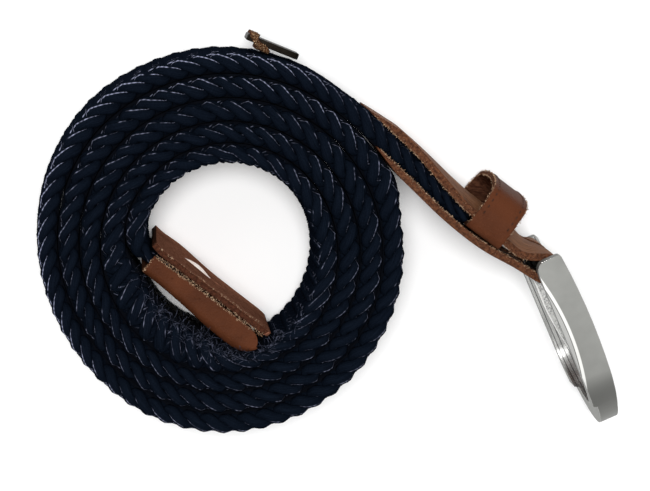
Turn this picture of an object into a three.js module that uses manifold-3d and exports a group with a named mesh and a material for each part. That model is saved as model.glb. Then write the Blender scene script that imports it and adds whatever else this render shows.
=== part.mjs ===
// A braided belt with leather ends and a D-shaped buckle, rolled up and standing on its lower edge.
// Millimetres, +Z up. The plan is laid out around the middle of the coil, and the whole belt is then
// moved so that the middle of its footprint is the origin.
import * as THREE from 'three';
import { mergeVertices } from 'three/addons/utils/BufferGeometryUtils.js';
import Module from 'manifold-3d';

const wasm = await Module();
wasm.setup();

// Driving sizes
const GAP = 0.3; // air kept between pieces that touch
const BRAID = { width: 35, half: 2.3, chamfer: 1.1, step: 5.8 };

// Distance of the braid's middle from the coil's centre at the four sides, one row for each turn,
// outermost first. The belt winds inwards from the top by way of the left.
const TURNS = [
  { top: 46.9, left: 45.0, bottom: 44.8, right: 42.8 },
  { top: 40.9, left: 39.5, bottom: 39.3, right: 36.7 },
  { top: 34.8, left: 34.3, bottom: 34.3, right: 31.4 },
  { top: 29.1, left: 28.8, bottom: 29.4, right: 25.4 },
  { top: 23.9, left: 22.9, bottom: 22.9, right: 22.9 },
];
const OUTER_START = { angle: 66, radius: 46.9 }; // where the outer turn leaves the tab
// Where the coil is pressed in towards its centre, or bulges if the depth is negative. The place along the
// belt is counted in quarter turns from the top of the outer turn.
const DENTS = [
  { quarter: 0.6, spread: 0.25, depth: -1.1 },
  { quarter: 1.4, spread: 0.35, depth: 1.3 },
  { quarter: 3.43, spread: 0.38, depth: 1.1 }, // behind the tab
  { quarter: 5.4, spread: 0.35, depth: 1.1 },
  { quarter: 9.4, spread: 0.35, depth: 0.8 },
  { quarter: 13.4, spread: 0.35, depth: 0.5 },
];
const COIL_POINTS_PER_QUARTER = 4;
const COIL_LAST_QUARTER = 16.75;

// The buckle end runs off the coil in a straight tab. Each row is a section across it, from the coil to
// the last one before the bar: the place of its middle, the offset of the front and back leather from
// that middle at their edges, how far the front face swells at mid-height, and the braid's offset.
const TAB = [
  { x: 36.5, y: 30.5, front: 3.6, back: -3.5, swell: 0.0, braid: 0.0 },
  { x: 46.5, y: 21.2, front: 3.4, back: -3.5, swell: 0.6, braid: 0.0 },
  { x: 58.5, y: 10.2, front: 1.6, back: -3.9, swell: 2.1, braid: -1.15 },
  { x: 66.8, y: 3.9, front: 0.75, back: -4.0, swell: 2.7, braid: -1.2 },
  { x: 74.4, y: -1.4, front: -0.2, back: -3.1, swell: 3.0, braid: 0.0 },
];
const BAR = { x: 80.4, y: -5.2, radius: 1.5, height: 21.2 };
const TAB_AXIS = new THREE.Vector2(BAR.x - TAB[0].x, BAR.y - TAB[0].y).normalize();
const TAB_LENGTH = 45; // no more than this much of the braid lies in the tab
const RISE = { height: 3.7, from: 3, to: 50 }; // the tab climbs so that the lower rail clears the floor

const LEATHER = { thickness: 1.9, height: 34, foldRadius: 3.0, margin: 2, step: 1.7, frontLead: 2.5,
  frontLeadOffset: 3.5, backLead: 4.5 };
const FOLD_TURNS = [95, 57, 19, -19, -57, -95]; // the fold round the bar, in degrees from straight ahead
const LEATHER_LEVELS = [10, 5]; // heights above and below the middle at which the swelling face is cut into strips
const BRAID_TAB_END = { past: 3.0, half: 1.25, taper: 32 };
const SLOT = { back: 8.5, front: 5.5, height: 6.4, depth: 20 }; // cut through the fold for the prong

// The keeper's ring, across and up: its front wall bulges from the shoulder to the front at mid-height.
const KEEPER = { at: 8.8, width: 10, thickness: 1.3, back: -2.4, front: 12.0, shoulder: 10.9, top: 36.4, foot: -1.4,
  backCorner: 1.6, frontCorner: 3.5 };

// The free end: a straight cap along a chord of the coil. Along and across are measured from the outer
// corner of its open end.
const TIP = { x: -20.9, y: -5.4, angle: -37.6, length: 34.2, cover: 5.6, wall: 1.3, cap: 1.6, panel: 2.0 };
const COVER = { bevel: 1.0, hollowPast: 2 }; // the hollow is cut open past the free end's mouth by that much
const TIP_BRAID = { across: 3.7, inside: 9, bend: 8.5, half: 1.95, height: 31, taperFrom: 9.5, taperTo: 16 };
const BEND_TURNS = [0, 27, 53]; // the braid's bend into the cover, in degrees
const PANEL = { inset: 0.2, lowStart: 1.6, highStart: 3.6, end: 35.2, corner: 3, slitFrom: 8.1, slitTo: 20.8,
  slitRise: 0.6 };

const FRAME = { turn: -66.8, half: 21.2, rail: 3.6, heel: 2.8, straight: 29, reach: 45.2, windowStraight: 27,
  windowReach: 40, back: -2.65, backStep: 1.0, stepAt: 37.2, stepRun: 0.4, heelRound: 3.0, frontRound: 1.0 };
const CUT_PAST = 1; // how far a cutting or meeting shape runs past the one it shapes
const FRAME_FRONT = { heel: 4.3, control: 6.5, toe: 3.4, toeAt: 40, end: 2.9 };
const NOTCH = { from: 38, half: 2.7, floor: 1.0, length: 20, depth: 10 };

const PRONG = { hole: 1.85, eye: 3.25, width: 4.4, tipWidth: 3.6, thickness: 2.2, steps: 26 };
// The prong's middle line in the frame's own plan, from the eye to its tip.
const PRONG_LINE = [
  { x: 0.0, y: -2.15 }, { x: 5.0, y: -1.4 }, { x: 10.0, y: -1.45 }, { x: 14.0, y: -1.4 }, { x: 19.0, y: -0.9 },
  { x: 25.0, y: 0.1 }, { x: 31.0, y: 1.2 }, { x: 36.0, y: 2.1 }, { x: 40.0, y: 2.5 }, { x: 44.6, y: 2.45 },
];

const PLATE = { x: 12.4, y: 50.1, angle: -22.3, length: 14, height: 11, thickness: 1.6, foot: 14, corner: 1 };
const PLATE_LOOP = { shift: -2.5, width: 4.5, inner: 1.1, front: 1.9, back: -2.25, edge: 1.2 };

const FOOTPRINT_MIDDLE = { x: 27.06, y: 3.32 };

const material = (color, roughness, metalness) => new THREE.MeshStandardMaterial({ color, roughness, metalness });
const navy = () => material(0x14192a, 0.7, 0);
const tan = () => material(0x855233, 0.6, 0);
const satinMetal = () => material(0x96988f, 0.35, 1);
const polishedMetal = () => material(0xb4b6b4, 0.2, 1);
const darkMetal = () => material(0x3a352d, 0.45, 1);

const { smoothstep } = THREE.MathUtils;
const plan = (x, y) => new THREE.Vector2(x, y);
const leftOf = (direction) => plan(-direction.y, direction.x);

function positionOnly(geometry) {
  geometry.deleteAttribute('normal');
  geometry.deleteAttribute('uv');
  return mergeVertices(geometry, 1e-4);
}

function solidOf(geometry) {
  const merged = positionOnly(geometry);
  return new wasm.Manifold(new wasm.Mesh({
    numProp: 3,
    vertProperties: new Float32Array(merged.attributes.position.array),
    triVerts: new Uint32Array(merged.index.array),
  }));
}

function geometryOf(solid) {
  const mesh = solid.getMesh();
  const geometry = new THREE.BufferGeometry();
  geometry.setAttribute('position', new THREE.BufferAttribute(mesh.vertProperties, 3));
  geometry.setIndex(new THREE.BufferAttribute(mesh.triVerts, 1));
  return geometry;
}

// A box cut into cells, each corner of which is sent to a new place: u runs 0 to 1 along it, v is the
// cell corner's number through the thickness and w its number up the height.
function bentBox(along, through, up, place) {
  const geometry = positionOnly(new THREE.BoxGeometry(along, through, up, along, through, up));
  const position = geometry.attributes.position;
  for (let i = 0; i < position.count; i += 1) {
    const u = position.getX(i) / along + 0.5;
    const v = Math.round(position.getY(i) + through / 2);
    const w = Math.round(position.getZ(i) + up / 2);
    const spot = place(u, v, w);
    position.setXYZ(i, spot.x, spot.y, spot.z);
  }
  return geometry;
}

// Where the tab is, and how high it has climbed
const tabAlong = (x, y) => (x - TAB[0].x) * TAB_AXIS.x + (y - TAB[0].y) * TAB_AXIS.y;
const rise = (x, y) => RISE.height * smoothstep(tabAlong(x, y), RISE.from, RISE.to);

function tabDirection(row) {
  const before = TAB[Math.max(row - 1, 0)];
  const after = row + 1 < TAB.length ? TAB[row + 1] : BAR;
  return plan(after.x - before.x, after.y - before.y).normalize();
}

function tabPoint(row, offset, forward = 0) {
  const direction = tabDirection(row);
  const side = leftOf(direction);
  return plan(
    TAB[row].x + side.x * offset + direction.x * forward,
    TAB[row].y + side.y * offset + direction.y * forward,
  );
}

// The coil
function coilRadius(quarter) {
  const sides = ['top', 'left', 'bottom', 'right'];
  const at = (index) => {
    const bounded = THREE.MathUtils.clamp(index, 0, TURNS.length * 4 - 1);
    return TURNS[Math.floor(bounded / 4)][sides[bounded % 4]];
  };
  const whole = Math.floor(quarter);
  const part = quarter - whole;
  const [p0, p1, p2, p3] = [at(whole - 1), at(whole), at(whole + 1), at(whole + 2)];
  const slopeIn = (p2 - p0) / 2;
  const slopeOut = (p3 - p1) / 2;
  const bend = part * part;
  const cube = bend * part;
  const pressed = DENTS.reduce(
    (sum, dent) => sum + dent.depth * Math.exp(-(((quarter - dent.quarter) / dent.spread) ** 2)),
    0,
  );
  return p1 * (2 * cube - 3 * bend + 1) + slopeIn * (cube - 2 * bend + part)
    + p2 * (3 * bend - 2 * cube) + slopeOut * (cube - bend) - pressed;
}

function polar(angle, radius) {
  const turn = THREE.MathUtils.degToRad(angle);
  return plan(Math.cos(turn) * radius, Math.sin(turn) * radius);
}

const coilPoint = (quarter) => polar(90 + quarter * 90, coilRadius(quarter));

function tipPoint(along, across) {
  const turn = THREE.MathUtils.degToRad(TIP.angle);
  const direction = plan(Math.cos(turn), Math.sin(turn));
  const side = leftOf(direction);
  return plan(
    TIP.x + direction.x * along + side.x * across,
    TIP.y + direction.y * along + side.y * across,
  );
}

// The braid's middle line in plan, from its hidden end in the free end's cover to the one in the buckle end
function braidRoute() {
  const points = [tipPoint(TIP_BRAID.inside, TIP_BRAID.across), tipPoint(TIP_BRAID.inside / 2, TIP_BRAID.across)];
  for (const bend of BEND_TURNS) {
    const turn = THREE.MathUtils.degToRad(bend);
    const back = -Math.sin(turn) * TIP_BRAID.bend;
    points.push(tipPoint(back, TIP_BRAID.across + (1 - Math.cos(turn)) * TIP_BRAID.bend));
  }
  const count = COIL_LAST_QUARTER * COIL_POINTS_PER_QUARTER;
  for (let i = count; i >= 0; i -= 1) {
    points.push(coilPoint(i / COIL_POINTS_PER_QUARTER));
  }
  points.push(polar(OUTER_START.angle, OUTER_START.radius));
  points.push(tabPoint(0, TAB[0].braid), tabPoint(1, TAB[1].braid), tabPoint(2, TAB[2].braid));
  points.push(tabPoint(2, TAB[2].braid, BRAID_TAB_END.past));
  return new THREE.CatmullRomCurve3(points.map((p) => new THREE.Vector3(p.x, p.y, 0)), false, 'centripetal');
}

function wovenBand() {
  const route = braidRoute();
  const length = route.getLength();
  const steps = Math.round(length / BRAID.step);
  const middle = BRAID.width / 2;
  return bentBox(steps, 1, 3, (u, v, w) => {
    const spot = route.getPointAt(u);
    const side = leftOf(route.getTangentAt(u));
    const fromTip = u * length;
    const fromBuckle = length - fromTip;
    const full = smoothstep(fromTip, TIP_BRAID.taperFrom, TIP_BRAID.taperTo);
    const thin = 1 - smoothstep(fromBuckle, 0, BRAID_TAB_END.taper);
    const half = BRAID.half - (BRAID.half - TIP_BRAID.half) * (1 - full) - (BRAID.half - BRAID_TAB_END.half) * thin;
    const height = TIP_BRAID.height + (BRAID.width - TIP_BRAID.height) * full;
    const onEdge = w === 0 || w === 3;
    const reach = (onEdge ? half - BRAID.chamfer : half) * (v === 0 ? -1 : 1);
    const level = onEdge ? height / 2 : height / 2 - BRAID.chamfer;
    // only the stretch in the tab is lifted, the coil stands on the floor
    const lift = fromBuckle < TAB_LENGTH ? rise(spot.x, spot.y) : 0;
    return { x: spot.x + side.x * reach, y: spot.y + side.y * reach, z: middle + (w < 2 ? -level : level) + lift };
  });
}

// The leather strip of the buckle end, folded round the bar. The third coordinate of its route carries how
// far the face swells outwards there.
function strapRoute() {
  const points = [];
  const lead = tabPoint(0, LEATHER.frontLeadOffset, -LEATHER.frontLead);
  points.push(new THREE.Vector3(lead.x, lead.y, 0));
  TAB.forEach((row, index) => {
    const spot = tabPoint(index, row.front);
    points.push(new THREE.Vector3(spot.x, spot.y, row.swell));
  });
  const last = TAB[TAB.length - 1];
  const direction = plan(BAR.x - last.x, BAR.y - last.y).normalize();
  const side = leftOf(direction);
  for (const turn of FOLD_TURNS) {
    const angle = THREE.MathUtils.degToRad(turn);
    const ahead = Math.cos(angle) * LEATHER.foldRadius;
    const aside = Math.sin(angle) * LEATHER.foldRadius;
    points.push(new THREE.Vector3(
      BAR.x + direction.x * ahead + side.x * aside,
      BAR.y + direction.y * ahead + side.y * aside,
      0,
    ));
  }
  for (let index = TAB.length - 1; index >= 0; index -= 1) {
    const spot = tabPoint(index, TAB[index].back, index === 0 ? LEATHER.backLead : 0);
    points.push(new THREE.Vector3(spot.x, spot.y, 0));
  }
  return new THREE.CatmullRomCurve3(points, false, 'centripetal');
}

function buckleStrap() {
  const route = strapRoute();
  const steps = Math.round(route.getLength() / LEATHER.step);
  const half = LEATHER.height / 2;
  const upper = [half, half - LEATHER.margin, ...LEATHER_LEVELS];
  const levels = [...upper.map((level) => -level), 0, ...upper.reverse()];
  const folded = bentBox(steps, 1, levels.length - 1, (u, v, w) => {
    const spot = route.getPointAt(u);
    const tangent = route.getTangentAt(u);
    const side = leftOf(plan(tangent.x, tangent.y).normalize());
    const level = levels[w];
    const crown = Math.max(0, 1 - (level / (half - LEATHER.margin)) ** 2);
    const reach = (v - 0.5) * LEATHER.thickness + Math.max(0, spot.z) * crown;
    return {
      x: spot.x + side.x * reach,
      y: spot.y + side.y * reach,
      z: BRAID.width / 2 + level + rise(spot.x, spot.y),
    };
  });
  const slot = new THREE.BoxGeometry(SLOT.back + SLOT.front, SLOT.depth, SLOT.height);
  slot.translate((SLOT.front - SLOT.back) / 2, 0, 0);
  const last = TAB[TAB.length - 1];
  slot.rotateZ(Math.atan2(BAR.y - last.y, BAR.x - last.x));
  slot.translate(BAR.x, BAR.y, BAR.height);
  return geometryOf(solidOf(folded).subtract(solidOf(slot)));
}

// The keeper: one side lies between the layers of leather, the other stands off in front.
function keeperOutline(path, inset) {
  const back = KEEPER.back + inset;
  const front = KEEPER.front - inset;
  const shoulder = KEEPER.shoulder - inset;
  const top = KEEPER.top - inset;
  const foot = KEEPER.foot + inset;
  const middle = (top + foot) / 2;
  const near = Math.max(KEEPER.backCorner - inset, GAP);
  const far = KEEPER.frontCorner - inset;
  path.moveTo(back, foot + near);
  path.quadraticCurveTo(back, foot, back + near, foot);
  path.lineTo(shoulder - far, foot);
  path.quadraticCurveTo(shoulder, foot, shoulder, foot + far);
  path.quadraticCurveTo(front + (front - shoulder), middle, shoulder, top - far);
  path.quadraticCurveTo(shoulder, top, shoulder - far, top);
  path.lineTo(back + near, top);
  path.quadraticCurveTo(back, top, back, top - near);
  path.closePath();
  return path;
}

function keeperLoop() {
  const ring = keeperOutline(new THREE.Shape(), 0);
  ring.holes.push(keeperOutline(new THREE.Path(), KEEPER.thickness));
  const geometry = new THREE.ExtrudeGeometry(ring, {
    depth: KEEPER.width,
    steps: 2,
    bevelEnabled: false,
    curveSegments: 6,
  });
  // the outline's x becomes the tab's front direction, its y becomes up, and its depth runs back along the tab
  geometry.translate(0, 0, -KEEPER.width / 2);
  geometry.rotateX(Math.PI / 2);
  const direction = plan(TAB[3].x - TAB[2].x, TAB[3].y - TAB[2].y).normalize();
  geometry.rotateZ(Math.atan2(direction.y, direction.x) + Math.PI / 2);
  geometry.translate(TAB[2].x + direction.x * KEEPER.at, TAB[2].y + direction.y * KEEPER.at, 0);
  const merged = positionOnly(geometry);
  const position = merged.attributes.position;
  for (let i = 0; i < position.count; i += 1) {
    position.setZ(i, position.getZ(i) + rise(position.getX(i), position.getY(i)));
  }
  return merged;
}

// The free end's cover and inner panel
function placeTip(mesh) {
  mesh.position.set(TIP.x, TIP.y, 0);
  mesh.rotation.z = THREE.MathUtils.degToRad(TIP.angle);
  return mesh;
}

function tipCover() {
  const { bevel, hollowPast } = COVER;
  const round = TIP.cover / 2;
  const outline = new THREE.Shape();
  outline.moveTo(0, 0);
  outline.lineTo(TIP.length - round, 0);
  outline.absarc(TIP.length - round, round, round, -Math.PI / 2, Math.PI / 2, false);
  outline.lineTo(0, TIP.cover);
  outline.closePath();
  const block = new THREE.ExtrudeGeometry(outline, {
    depth: BRAID.width - 2 * bevel,
    bevelEnabled: true,
    bevelThickness: bevel,
    bevelSize: bevel,
    bevelOffset: -bevel,
    bevelSegments: 3,
    curveSegments: 8,
  });
  block.translate(0, 0, bevel);
  const hollowLength = TIP.length - TIP.wall - round + hollowPast;
  const hollow = new THREE.BoxGeometry(hollowLength, TIP.cover, BRAID.width - 2 * TIP.cap);
  hollow.translate(hollowLength / 2 - hollowPast, TIP.cover / 2 + TIP.wall, BRAID.width / 2);
  return geometryOf(solidOf(block).subtract(solidOf(hollow)));
}

function tipPanel() {
  const { end, corner, inset } = PANEL;
  const high = BRAID.width - inset;
  const low = inset;
  const face = new THREE.Shape();
  face.moveTo(PANEL.lowStart, low);
  face.lineTo(end - corner, low);
  face.quadraticCurveTo(end, low, end, low + corner);
  face.lineTo(end, high - corner);
  face.quadraticCurveTo(end, high, end - corner, high);
  face.lineTo(PANEL.highStart, high);
  face.closePath();
  const middle = BRAID.width / 2;
  const slit = new THREE.Path();
  slit.moveTo(PANEL.slitFrom, middle);
  slit.quadraticCurveTo((PANEL.slitFrom + PANEL.slitTo) / 2, middle - 2 * PANEL.slitRise, PANEL.slitTo, middle);
  slit.quadraticCurveTo((PANEL.slitFrom + PANEL.slitTo) / 2, middle + 2 * PANEL.slitRise, PANEL.slitFrom, middle);
  face.holes.push(slit);
  const geometry = new THREE.ExtrudeGeometry(face, { depth: TIP.panel, bevelEnabled: false, curveSegments: 6 });
  geometry.rotateX(Math.PI / 2);
  geometry.translate(0, TIP.cover + GAP + TIP.panel, 0);
  return geometry;
}

// The buckle's frame lies in its own X-Z plane with the bar's axis at the origin and its front towards +Y.
function frameOutline() {
  const { half, rail, heel, straight, reach, windowStraight, windowReach } = FRAME;
  const inner = half - rail;
  const outline = new THREE.Shape();
  outline.moveTo(-heel, -half);
  outline.lineTo(straight, -half);
  outline.absellipse(straight, 0, reach - straight, half, -Math.PI / 2, Math.PI / 2, false);
  outline.lineTo(-heel, half);
  outline.lineTo(-heel, inner);
  outline.lineTo(windowStraight, inner);
  outline.absellipse(windowStraight, 0, windowReach - windowStraight, inner, Math.PI / 2, -Math.PI / 2, true);
  outline.lineTo(-heel, -inner);
  outline.closePath();
  return outline;
}

function frameSide() {
  const { heel, reach, back, backStep, stepAt, stepRun, heelRound, frontRound } = FRAME;
  const past = reach + CUT_PAST;
  const side = new THREE.Shape();
  side.moveTo(heelRound - heel, back);
  side.lineTo(stepAt, back);
  side.lineTo(stepAt + stepRun, back + backStep);
  side.lineTo(past, back + backStep);
  side.lineTo(past, FRAME_FRONT.end);
  side.lineTo(FRAME_FRONT.toeAt, FRAME_FRONT.toe);
  side.quadraticCurveTo((FRAME_FRONT.toeAt - heel) / 2, FRAME_FRONT.control, frontRound - heel, FRAME_FRONT.heel);
  side.quadraticCurveTo(-heel, FRAME_FRONT.heel, -heel, FRAME_FRONT.heel - frontRound);
  side.lineTo(-heel, back + heelRound);
  side.quadraticCurveTo(-heel, back, heelRound - heel, back);
  return side;
}

function buckleFrame() {
  const deep = 2 * (FRAME_FRONT.control + CUT_PAST);
  const tall = 2 * (FRAME.half + CUT_PAST);
  const face = new THREE.ExtrudeGeometry(frameOutline(), { depth: deep, bevelEnabled: false, curveSegments: 14 });
  face.rotateX(Math.PI / 2);
  face.translate(0, deep / 2, 0);
  const side = new THREE.ExtrudeGeometry(frameSide(), { depth: tall, bevelEnabled: false, curveSegments: 9 });
  side.translate(0, 0, -tall / 2);
  const bar = new THREE.CylinderGeometry(BAR.radius, BAR.radius, 2 * (FRAME.half - FRAME.rail / 2), 20);
  bar.rotateX(Math.PI / 2);
  const notch = new THREE.BoxGeometry(NOTCH.length, NOTCH.depth, 2 * NOTCH.half);
  notch.translate(NOTCH.from + NOTCH.length / 2, NOTCH.floor + NOTCH.depth / 2, 0);
  return geometryOf(solidOf(face).intersect(solidOf(side)).subtract(solidOf(notch)).add(solidOf(bar)));
}

function buckleProng() {
  const eye = new THREE.Shape();
  eye.absarc(0, 0, PRONG.eye, 0, 2 * Math.PI, false);
  const hole = new THREE.Path();
  hole.absarc(0, 0, PRONG.hole, 0, 2 * Math.PI, true);
  eye.holes.push(hole);
  const ring = new THREE.ExtrudeGeometry(eye, { depth: PRONG.width, bevelEnabled: false, curveSegments: 14 });
  ring.translate(0, 0, -PRONG.width / 2);
  const line = new THREE.CatmullRomCurve3(PRONG_LINE.map((p) => new THREE.Vector3(p.x, p.y, 0)));
  const shank = bentBox(PRONG.steps, 1, 1, (u, v, w) => {
    const spot = line.getPointAt(u);
    const side = leftOf(line.getTangentAt(u));
    const reach = (v - 0.5) * PRONG.thickness;
    const width = PRONG.width + (PRONG.tipWidth - PRONG.width) * u;
    return { x: spot.x + side.x * reach, y: spot.y + side.y * reach, z: (w - 0.5) * width };
  });
  const bore = new THREE.CylinderGeometry(PRONG.hole, PRONG.hole, 2 * PRONG.width, 28);
  bore.rotateX(Math.PI / 2);
  return geometryOf(solidOf(ring).add(solidOf(shank)).subtract(solidOf(bore)));
}

// The small plate on the outer turn, and its loop
function sidePlate() {
  const round = PLATE.corner;
  const outline = new THREE.Shape();
  const halfLength = PLATE.length / 2;
  const halfHeight = PLATE.height / 2;
  outline.moveTo(-halfLength + round, -halfHeight);
  outline.lineTo(halfLength - round, -halfHeight);
  outline.quadraticCurveTo(halfLength, -halfHeight, halfLength, -halfHeight + round);
  outline.lineTo(halfLength, halfHeight - round);
  outline.quadraticCurveTo(halfLength, halfHeight, halfLength - round, halfHeight);
  outline.lineTo(-halfLength + round, halfHeight);
  outline.quadraticCurveTo(-halfLength, halfHeight, -halfLength, halfHeight - round);
  outline.lineTo(-halfLength, -halfHeight + round);
  outline.quadraticCurveTo(-halfLength, -halfHeight, -halfLength + round, -halfHeight);
  const geometry = new THREE.ExtrudeGeometry(outline, {
    depth: PLATE.thickness,
    bevelEnabled: false,
    curveSegments: 3,
  });
  geometry.translate(0, 0, -PLATE.thickness / 2);
  geometry.rotateX(Math.PI / 2);
  geometry.translate(0, 0, PLATE.foot + halfHeight);
  return geometry;
}

function sideLoop() {
  const { width, inner, front, back, edge, shift } = PLATE_LOOP;
  const low = PLATE.foot - GAP;
  const high = PLATE.foot + PLATE.height + GAP;
  const ring = new THREE.Shape();
  ring.moveTo(back, low - edge);
  ring.lineTo(front, low - edge);
  ring.lineTo(front, high + edge);
  ring.lineTo(back, high + edge);
  ring.closePath();
  const hole = new THREE.Path();
  hole.moveTo(-inner, low);
  hole.lineTo(-inner, high);
  hole.lineTo(inner, high);
  hole.lineTo(inner, low);
  hole.closePath();
  ring.holes.push(hole);
  const geometry = new THREE.ExtrudeGeometry(ring, { depth: width, bevelEnabled: false });
  geometry.translate(0, 0, -width / 2);
  geometry.rotateX(Math.PI / 2);
  geometry.rotateZ(Math.PI / 2);
  geometry.translate(shift, 0, 0);
  return geometry;
}

function placePlate(mesh) {
  mesh.position.set(PLATE.x, PLATE.y, 0);
  mesh.rotation.z = THREE.MathUtils.degToRad(PLATE.angle);
  return mesh;
}

function placeBuckle(mesh) {
  mesh.position.set(BAR.x, BAR.y, BAR.height);
  mesh.rotation.z = THREE.MathUtils.degToRad(FRAME.turn);
  return mesh;
}

function piece(name, geometry, finish) {
  const mesh = new THREE.Mesh(geometry, finish);
  mesh.name = name;
  return mesh;
}

const belt = new THREE.Group();
belt.add(
  piece('woven_band', wovenBand(), navy()),
  piece('buckle_strap', buckleStrap(), tan()),
  piece('keeper_loop', keeperLoop(), tan()),
  placeTip(piece('tip_cover', tipCover(), tan())),
  placeTip(piece('tip_panel', tipPanel(), tan())),
  placeBuckle(piece('buckle_frame', buckleFrame(), satinMetal())),
  placeBuckle(piece('buckle_prong', buckleProng(), polishedMetal())),
  placePlate(piece('side_plate', sidePlate(), darkMetal())),
  placePlate(piece('side_loop', sideLoop(), tan())),
);
belt.position.set(-FOOTPRINT_MIDDLE.x, -FOOTPRINT_MIDDLE.y, 0);

export default belt;
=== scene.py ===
"""A rolled-up braided belt with leather ends and a D-shaped buckle, standing on its lower edge."""

import math
from functools import partialmethod

import bmesh
import bpy
import numpy as np
from mathutils import Matrix, Vector


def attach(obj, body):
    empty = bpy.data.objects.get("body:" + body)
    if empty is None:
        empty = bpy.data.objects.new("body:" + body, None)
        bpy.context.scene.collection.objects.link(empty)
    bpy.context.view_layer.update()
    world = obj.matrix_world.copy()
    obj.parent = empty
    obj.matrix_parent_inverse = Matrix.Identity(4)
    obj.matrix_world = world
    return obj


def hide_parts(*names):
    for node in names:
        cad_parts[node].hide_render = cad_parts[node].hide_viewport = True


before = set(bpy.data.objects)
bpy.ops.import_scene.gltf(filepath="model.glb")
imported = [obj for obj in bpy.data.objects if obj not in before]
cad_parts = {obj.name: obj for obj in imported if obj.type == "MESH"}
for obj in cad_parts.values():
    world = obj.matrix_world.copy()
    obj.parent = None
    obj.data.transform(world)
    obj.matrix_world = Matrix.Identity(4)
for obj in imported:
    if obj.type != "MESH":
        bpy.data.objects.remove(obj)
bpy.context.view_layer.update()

MM = 0.001
MIDDLE = (27.06, 3.32)  # of the footprint, in the plan whose origin is the coil's centre

# The belt's plan, in millimetres
BRAID_WIDTH = 35.0
TURNS = (  # top, left, bottom, right
    (46.9, 45.0, 44.8, 42.8),
    (40.9, 39.5, 39.3, 36.7),
    (34.8, 34.3, 34.3, 31.4),
    (29.1, 28.8, 29.4, 25.4),
    (23.9, 22.9, 22.9, 22.9),
)
OUTER_START = (66, 46.9)  # degrees, radius
DENTS = (  # quarter turn, spread, depth
    (0.6, 0.25, -1.1),
    (1.4, 0.35, 1.3),
    (3.43, 0.38, 0.2),
    (5.4, 0.35, 1.1),
    (9.4, 0.35, 0.8),
    (13.4, 0.35, 0.5),
)
QUARTER_STEP, LAST_QUARTER = 0.25, 16.75  # quarter turns between points, and to the inner end
TAB = (  # x, y, front, back, swell, braid
    (36.5, 30.5, 3.6, -3.5, 0.0, 0.0),
    (46.5, 21.2, 3.4, -3.5, 0.6, 0.0),
    (58.5, 10.2, 1.6, -3.9, 2.1, -1.15),
    (66.8, 3.9, 0.75, -4.0, 2.7, -1.2),
    (74.4, -1.4, -0.2, -3.1, 2.7, 0.0),
)
BAR = (80.4, -5.2, 21.2)
TAB_LENGTH = 45  # the braid's last stretch of this length climbs with the tab
RISE_HEIGHT, RISE_FROM, RISE_TO = 3.7, 3.0, 50.0
LEATHER_THICKNESS, LEATHER_HEIGHT, LEATHER_MARGIN = 1.9, 34.0, 2.0
SKIVED, SKIVED_TO = 9.0, 0.18  # the strap's ends are pared down over this length, to this share
FOLD_RADIUS = 3.0
FOLD_TURNS = (95, 57, 19, -19, -57, -95)
FRONT_LEAD, FRONT_LEAD_OFFSET, BACK_LEAD = 2.5, 3.5, 4.5
SLOT_BACK, SLOT_FRONT, SLOT_HEIGHT = 8.5, 5.5, 6.4
BRAID_END_PAST = 3.0  # how far past the tab's third row the braid ends
KEEPER = dict(at=8.8, width=10, thickness=1.3, back=-2.4, front=12.0, shoulder=10.9, top=36.4, foot=-1.4,
              back_corner=1.6, front_corner=6.5)
TIP = dict(x=-20.9, y=-5.4, angle=-37.6, length=34.2)
# The braid's line into the free end, its size there, and where along it the braid grows to full size
TIP_ACROSS, TIP_INSIDE, TIP_BEND = 3.7, 9, 8.5
TIP_HALF, TIP_HEIGHT, TIP_FROM, TIP_TO = 1.95, 31.0, 9.5, 16.0
TIP_TURNS = (0, 27, 53)


def unit(v):
    return v / np.linalg.norm(v, axis=-1, keepdims=True)


def left_of(direction):
    return np.stack([-direction[..., 1], direction[..., 0]], axis=-1)


def smoothstep(value, low, high):
    share = np.clip((value - low) / (high - low), 0, 1)
    return share * share * (3 - 2 * share)


def bell(value, middle, spread):
    return np.exp(-(((value - middle) / spread) ** 2))


TAB_LINE = np.array([row[:2] for row in (*TAB, BAR)])
TAB_AXIS = unit(TAB_LINE[-1] - TAB_LINE[0])
FOLD_WAY = unit(TAB_LINE[-1] - TAB_LINE[-2])


def rise(spot):
    """How high the tab has climbed at a point of the plan."""
    along = (np.asarray(spot)[..., :2] - TAB_LINE[0]) @ TAB_AXIS
    return RISE_HEIGHT * smoothstep(along, RISE_FROM, RISE_TO)


def tab_point(row, offset, forward=0.0):
    """A point beside one of the tab's rows, and forward of it."""
    direction = unit(TAB_LINE[row + 1] - TAB_LINE[max(row - 1, 0)])
    return TAB_LINE[row] + left_of(direction) * offset + direction * forward


def hermite(start, end, slope_in, slope_out, share):
    """The point at this share of a cubic curve from start to end."""
    square, cube = share ** 2, share ** 3
    return (start * (2 * cube - 3 * square + 1) + slope_in * (cube - 2 * square + share)
            + end * (3 * square - 2 * cube) + slope_out * (cube - square))


def coil_radius(quarter):
    """How far the braid's middle lies from the coil's centre, by quarter turns from the top."""
    flat = [radius for turn in TURNS for radius in turn]
    whole = math.floor(quarter)
    p0, p1, p2, p3 = (flat[min(max(whole + k, 0), len(flat) - 1)] for k in (-1, 0, 1, 2))
    pressed = sum(depth * bell(quarter, at, spread) for at, spread, depth in DENTS)
    return hermite(p1, p2, (p2 - p0) / 2, (p3 - p1) / 2, quarter - whole) - pressed


def polar(degrees, radius):
    turn = math.radians(degrees)
    return np.array([math.cos(turn), math.sin(turn)]) * radius


TIP_DIRECTION = polar(TIP["angle"], 1)


def tip_plan(along, across):
    """Points of the plan, measured along and across the free end from the corner of its mouth."""
    along, across = (np.asarray(value)[..., None] for value in (along, across))
    return np.array([TIP["x"], TIP["y"]]) + TIP_DIRECTION * along + left_of(TIP_DIRECTION) * across


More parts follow.
